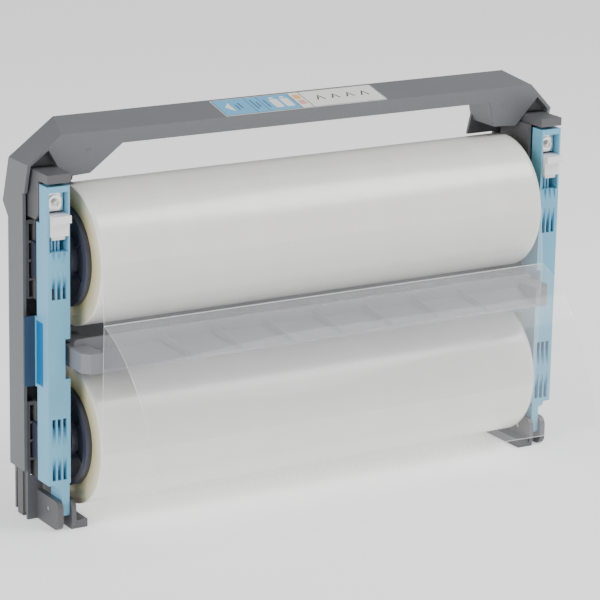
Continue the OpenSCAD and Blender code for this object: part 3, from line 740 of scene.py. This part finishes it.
@dataclass
class FilmPath:
    """The film that is threaded: a flat web from each roll to the nip, and the leader that hangs from it."""

    across: int = 61
    hem_twist_y: float = 0.0030
    hem_twist_z: float = 0.0046
    flutter: float = 0.0005
    bead_depth: float = 0.0001
    bead_height: float = 0.0002
    bead_sides: int = 10
    bead_rows: int = 40

    def grid(self, near: np.ndarray, far: np.ndarray, rows: int) -> np.ndarray:
        """Points of a ruled surface between two lines across the film.

        Args:
            near: Array of [across, 3] along the first line.
            far: Array of [across, 3] along the second line.
            rows: Number of rows between them.

        Returns:
            Array of [rows, across, 3].
        """
        t = np.linspace(0, 1, rows)[:, None, None]
        return near[None] * (1 - t) + far[None] * t

    def sheet_piece(self, name: str, points: np.ndarray, film: ClearFilm) -> bpy.types.Object:
        """Makes a thin sheet from a grid of points, with a UV from 0 to 1 each way.

        Args:
            name: Name of the piece.
            points: Array of [rows, across, 3].
            film: Its finish.

        Returns:
            The sheet's object.
        """
        rows, columns = points.shape[:2]
        piece = mesh_piece(name, points.reshape(-1, 3), grid_faces(rows, columns), film.material())
        v, u = np.meshgrid(np.linspace(0, 1, rows), np.linspace(0, 1, columns), indexing="ij")
        add_uv(piece, "sheet", np.stack([u.ravel(), v.ravel()], 1))
        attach(piece, "cartridge")
        return piece

    def row(self, half: float, y: float, z: float) -> np.ndarray:
        """Points along one straight line across the film."""
        x = np.linspace(-half, half, self.across)
        return np.stack([x, np.full_like(x, y), np.full_like(x, z)], 1)

    def build_webs(self) -> None:
        """Builds both flat webs between the fronts of the rolls and the nip."""
        low, high = corners("upper_web")
        half = high[0]
        nip_y, nip_z = low[1] + 0.0002, low[2]
        for level in Level:
            web_low, web_high = corners(f"{level.value}_web")
            start_z = web_high[2] if level is Level.UPPER else web_low[2]
            start_y = web_high[1] - 0.0002
            points = self.grid(self.row(half, start_y, start_z), self.row(half, nip_y, nip_z), 12)
            length = math.hypot(start_y - nip_y, start_z - nip_z)
            film = ClearFilm(f"{level.value}_web_film", haze=0.10, grazing=0.3, length=length * 4)
            web = self.sheet_piece(f"{level.value}_clear_web", points, film)
            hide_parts(f"{level.value}_web")
        LOG.info("webs built")

    def build_leader(self) -> None:
        """Builds the leader: a Bezier fall from the nip to the hem, turned a little along its width."""
        low, high = corners("film_leader")
        _, web_high = corners("lower_web")
        half, nip = high[0], np.array([high[1] - 0.0003, web_high[2]])
        reach, drop = nip[0] - low[1], nip[1] - low[2]
        t = np.linspace(0, 1, 60)[:, None, None]
        turn = np.linspace(1, -1, self.across)[None, :, None]
        ends = np.array([[0, 0], [-0.40 * reach, -9 * MM], [-0.72 * reach, -0.43 * drop], [-reach, -drop]])
        twist = turn * np.array([-self.hem_twist_y, self.hem_twist_z])
        hem = ends[3] + twist
        knee = ends[2] + twist * 0.5
        fall = (nip + 3 * t * (1 - t) ** 2 * ends[1] + 3 * t * t * (1 - t) * knee + t ** 3 * hem)
        x = np.broadcast_to(np.linspace(-half, half, self.across)[None, :, None], fall.shape[:2] + (1,))
        ripple = self.flutter * t * np.sin(2.2 * np.pi * (x / (2 * half)) + 2 * t)
        points = np.concatenate([x, fall + ripple * np.array([-1.0, -0.3])], -1)
        length = float(np.linalg.norm(np.diff(points, axis=0), axis=-1).sum(0).mean())
        film = ClearFilm("leader_film", haze=0.10, grazing=0.3, length=length)
        leader = self.sheet_piece("clear_leader", points, film)
        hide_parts("film_leader")
        weld = self.weld_highlight_line(half, nip)
        LOG.info("leader built, %.1f mm long", length * 1000)

    def weld_highlight_line(self, half: float, nip: np.ndarray) -> bpy.types.Object:
        """The pressed line where the webs and the leader are joined: a slim bead along X, whose pale grey is
        a painted highlight of the fold at the nip.

        Args:
            half: Half of the film's width.
            nip: Its y and z.

        Returns:
            The bead's object.
        """
        sides, rows = self.bead_sides, self.bead_rows
        turn = np.linspace(0, 2 * np.pi, sides, endpoint=False)
        x = np.linspace(-half, half, rows)
        y = nip[0] + self.bead_depth * np.cos(turn)
        z = nip[1] + self.bead_height * np.sin(turn)
        points = np.stack([np.repeat(x, sides), np.tile(y, rows), np.tile(z, rows)], 1)
        # Painted highlight: the bead's pale grey stands in for the light caught along the fold at the nip.
        finish = MouldedPlastic("weld_painted_highlight_grey", (0.7, 0.7, 0.7), roughness=0.3, mottling=0.02).material()
        bead = mesh_piece("weld_highlight_line", points, grid_faces(rows, sides, False, True), finish)
        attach(bead, "cartridge")
        return bead

    def build(self) -> None:
        """Builds the webs and the leader."""
        self.build_webs()
        self.build_leader()


@dataclass
class HandleLabel:
    """Printed label on the handle: a blue threading section, a colour key and a plain lifting section.

    Every mark on it is a plain pictogram or bar. Its own plane runs from the left front corner,
    with u along the handle and v up the slope, both in millimetres.
    """

    border: float = 0.7
    blue_end: float = 0.47
    key_end: float = 0.54
    layer: float = 0.00005
    thick: float = 0.0003
    handle_rise: float = 5.6
    handle_depth: float = 24.0
    cell_round: float = 0.8
    ink_level: int = 3

    def __post_init__(self) -> None:
        """Finds the label's corner and size from its CAD solid, and its slope from the handle's rise and
        depth.
        """
        low, high = corners("handle_label")
        slope = math.atan2(self.handle_rise, self.handle_depth)
        self.corner = np.array([low[0], low[1] + self.thick * math.sin(slope), low[2]])
        self.up = np.array([0, math.cos(slope), math.sin(slope)])
        self.normal = np.array([0, -math.sin(slope), math.cos(slope)])
        self.width = (high[0] - low[0]) / MM
        self.depth = (high[2] - low[2] - self.thick * math.cos(slope)) / math.sin(slope) / MM
        self.base = self.thick * 0.6
        self.count = 0

    def patch(self, name: str, outline: np.ndarray, level: int,
              finish: bpy.types.Material) -> bpy.types.Object:
        """Lays one flat printed shape on the label.

        Args:
            name: Name of the piece.
            outline: Array of [n, 2] with u and v in millimetres, anticlockwise.
            level: Number of layers above the label's base.
            finish: Its ink.

        Returns:
            The shape's object, a thin closed plate.
        """
        n = len(outline)
        flat = (self.corner + outline[:, :1] * MM * np.array([1.0, 0, 0]) + outline[:, 1:] * MM * self.up)
        low = flat + self.normal * (0 if level == 0 else self.base + (level - 1) * self.layer)
        high = flat + self.normal * (self.base + level * self.layer)
        points = np.concatenate([low, high])
        mesh = bpy.data.meshes.new(name)
        sides = [[i, (i + 1) % n, n + (i + 1) % n, n + i] for i in range(n)]
        mesh.from_pydata(points.tolist(), [], [list(range(n))[::-1], list(range(n, 2 * n)), *sides])
        mesh.materials.append(finish)
        mesh.update()
        piece = bpy.data.objects.new(name, mesh)
        bpy.context.scene.collection.objects.link(piece)
        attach(piece, "cartridge")
        self.count += 1
        return piece

    def box(self, u0: float, v0: float, u1: float, v1: float, round_by: float = 0.0) -> np.ndarray:
        """Outline of a rectangle between two corners, with quarter-round corners if asked.

        Returns:
            Array of [n, 2], anticlockwise.
        """
        if round_by <= 0:
            return np.array([[u0, v0], [u1, v0], [u1, v1], [u0, v1]], float)
        quarter = np.linspace(0, np.pi / 2, 5)
        centres = np.array([[u1 - round_by, v1 - round_by], [u0 + round_by, v1 - round_by],
                            [u0 + round_by, v0 + round_by], [u1 - round_by, v0 + round_by]])
        arcs = [c + round_by * np.stack([np.cos(quarter + k * np.pi / 2), np.sin(quarter + k * np.pi / 2)], 1)
                for k, c in enumerate(centres)]
        return np.concatenate(arcs)

    def build(self) -> None:
        """Lays the base, the sections and the pictograms."""
        w, d, b = self.width, self.depth, self.border
        black = PrintedInk("ink_black", (0.03, 0.03, 0.035)).material()
        white = PrintedInk("ink_white", (0.82, 0.82, 0.80)).material()
        blue = PrintedInk("ink_blue", (0.12, 0.42, 0.68)).material()
        navy = PrintedInk("ink_navy", (0.02, 0.07, 0.18)).material()
        orange = PrintedInk("ink_orange", (0.85, 0.48, 0.10)).material()
        pink = PrintedInk("ink_pink", (0.80, 0.36, 0.32)).material()
        base = self.patch("label_base", self.box(0, 0, w, d, self.cell_round), 0, white)
        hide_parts("handle_label")
        self.patch("label_rule", self.box(b * 0.6, b * 0.6, w - b * 0.6, d - b * 0.6), 1, black)
        blue_u, key_u = w * self.blue_end, w * self.key_end
        self.patch("label_blue_field", self.box(b * 1.2, b, blue_u - 0.3, d - b), 2, blue)
        self.patch("label_key_field", self.box(blue_u + 0.3, b, key_u - 0.3, d - b), 2, white)
        self.patch("label_lift_field", self.box(key_u + 0.3, b, w - b * 1.2, d - b), 2, white)
        self.threading(blue_u, d, white, navy)
        self.colour_key(blue_u, key_u, d, orange, pink)
        self.lift_marks(key_u, w, d, black)
        LOG.info("label printed with %d shapes", self.count)

    def threading(self, end: float, d: float, white: bpy.types.Material, navy: bpy.types.Material) -> None:
        """Draws the blue section: a pointer, two rules with short bars, and a pair of rolls."""
        pointer = np.array([[5.0, d * 0.5], [9.5, d * 0.24], [9.5, d * 0.76]])
        self.patch("label_pointer", pointer, self.ink_level, white)
        for k, u in enumerate((end * 0.42, end * 0.58)):
            self.patch(f"label_divider_{k}", self.box(u, 1.2, u + 0.35, d - 1.2), self.ink_level, navy)
        bars = ((0.24, 0.30, 0.62), (0.29, 0.36, 0.70), (0.47, 0.24, 0.80), (0.52, 0.34, 0.66),
                (0.63, 0.26, 0.74))
        for k, (u, v0, v1) in enumerate(bars):
            bar = self.box(end * u, d * v0, end * u + 0.8, d * v1)
            self.patch(f"label_bar_{k}", bar, self.ink_level, navy)
        for k, u in enumerate((end * 0.70, end * 0.84)):
            self.patch(f"label_roll_{k}", self.box(u, d * 0.2, u + 5.6, d * 0.72, 1.2), self.ink_level, white)
            axle = self.box(u + 1.4, d * 0.76, u + 4.2, d * 0.84)
            self.patch(f"label_roll_axle_{k}", axle, self.ink_level, white)

    def colour_key(self, start: float, end: float, d: float, orange: bpy.types.Material,
                   pink: bpy.types.Material) -> None:
        """Draws the two cells of the colour key."""
        middle, half = (start + end) / 2, 2.2
        for name, low, high, ink in (("orange", 0.58, 0.84, orange), ("pink", 0.24, 0.50, pink)):
            cell = self.box(middle - half, d * low, middle + half, d * high, self.cell_round)
            self.patch(f"label_key_{name}", cell, self.ink_level, ink)

    def lift_marks(self, start: float, end: float, d: float, black: bpy.types.Material) -> None:
        """Draws a row of plain chevrons that point up the slope."""
        for k in range(4):
            u = start + (end - start) * (0.2 + 0.2 * k)
            half, rise, stroke = 3.2, d * 0.2, 1.3
            v = d * 0.42
            outline = np.array([[u - half, v], [u - half + stroke, v], [u, v + rise], [u + half - stroke, v],
                                [u + half, v], [u, v + rise + stroke * 1.3]])
            left, right = outline[[0, 1, 2, 5]], outline[[2, 3, 4, 5]]
            self.patch(f"label_chevron_{k}_left", left, self.ink_level, black)
            self.patch(f"label_chevron_{k}_right", right, self.ink_level, black)


# ---------------------------------------------------------------- studio


@dataclass
class Studio:
    """Pale floor, soft lights and the camera."""

    azimuth: float = 31.22
    elevation: float = 15.7
    roll: float = 1.08
    distance: float = 1.79
    lens: float = 174.7
    aim_offset: tuple[float, float, float] = (0.0103, 0.0094, 0.0039)

    def place_camera(self) -> None:
        """Places the camera to the left of the front, a little above, turned slightly about its own view."""
        upper, lower = corners("upper_film"), corners("lower_film")
        middle = (upper[0] + upper[1] + lower[0] + lower[1]) / 4
        a, e, r = (math.radians(x) for x in (self.azimuth, self.elevation, self.roll))
        ahead = np.array([math.sin(a) * math.cos(e), math.cos(a) * math.cos(e), -math.sin(e)])
        level = np.array([math.cos(a), -math.sin(a), 0.0])
        rise = np.cross(level, ahead)
        right = math.cos(r) * level + math.sin(r) * rise
        up = -math.sin(r) * level + math.cos(r) * rise
        place = middle + np.array(self.aim_offset) - ahead * self.distance
        data = bpy.data.cameras.new("camera")
        data.lens = self.lens
        data.sensor_width = 36.0
        data.clip_start, data.clip_end = 0.05, 50.0
        camera = bpy.data.objects.new("camera", data)
        bpy.context.scene.collection.objects.link(camera)
        camera.matrix_world = placement(right, up, ahead, place)
        bpy.context.scene.camera = camera

    def lay_floor(self) -> None:
        """Lays a wide pale floor under the feet."""
        reach = 6.0
        points = np.array([[-reach, -reach, 0], [reach, -reach, 0], [reach, reach, 0], [-reach, reach, 0]])
        floor = mesh_piece("floor", points, np.array([[0, 1, 2, 3]]), StudioPaper().material(), smooth=False)

    def hang_lights(self) -> None:
        """Hangs a broad key at the left, a smaller bank high in front and an even surround."""
        world = bpy.data.worlds.new("surround")
        world.use_nodes = True
        world.node_tree.nodes["Background"].inputs["Color"].default_value = (1.0, 1.0, 1.0, 1.0)
        world.node_tree.nodes["Background"].inputs["Strength"].default_value = 0.56
        bpy.context.scene.world = world
        banks = (
            ("key", (-1.7, -0.6, 0.7), (0.0, 0.0, 0.12), 1.1, 18.0),
            ("front", (0.95, -0.70, 1.55), (0.0, 0.0, 0.12), 0.8, 26.0),
        )
        for name, place, aim, size, power in banks:
            data = bpy.data.lights.new(name, "AREA")
            data.shape, data.size, data.energy = "SQUARE", size, power
            light = bpy.data.objects.new(name, data)
            bpy.context.scene.collection.objects.link(light)
            ahead = np.array(aim) - np.array(place)
            ahead = ahead / np.linalg.norm(ahead)
            side = np.cross(ahead, np.array([0, 0, 1.0]))
            side = side / np.linalg.norm(side)
            light.matrix_world = placement(side, np.cross(side, ahead), ahead, np.array(place))

    def build(self) -> None:
        """Sets the whole studio up."""
        self.place_camera()
        self.lay_floor()
        self.hang_lights()
        LOG.info("studio ready")


def main() -> None:
    """Builds every sub-assembly in order."""
    logging.basicConfig(level=logging.INFO, format="%(name)s: %(message)s")
    bpy.context.view_layer.update()
    Studio().build()
    CarryFrame().build()
    EndArms().build()
    for level in Level:
        FilmRoll(level).build()
    FilmPath().build()
    HandleLabel().build()


if __name__ == "__main__":
    main()
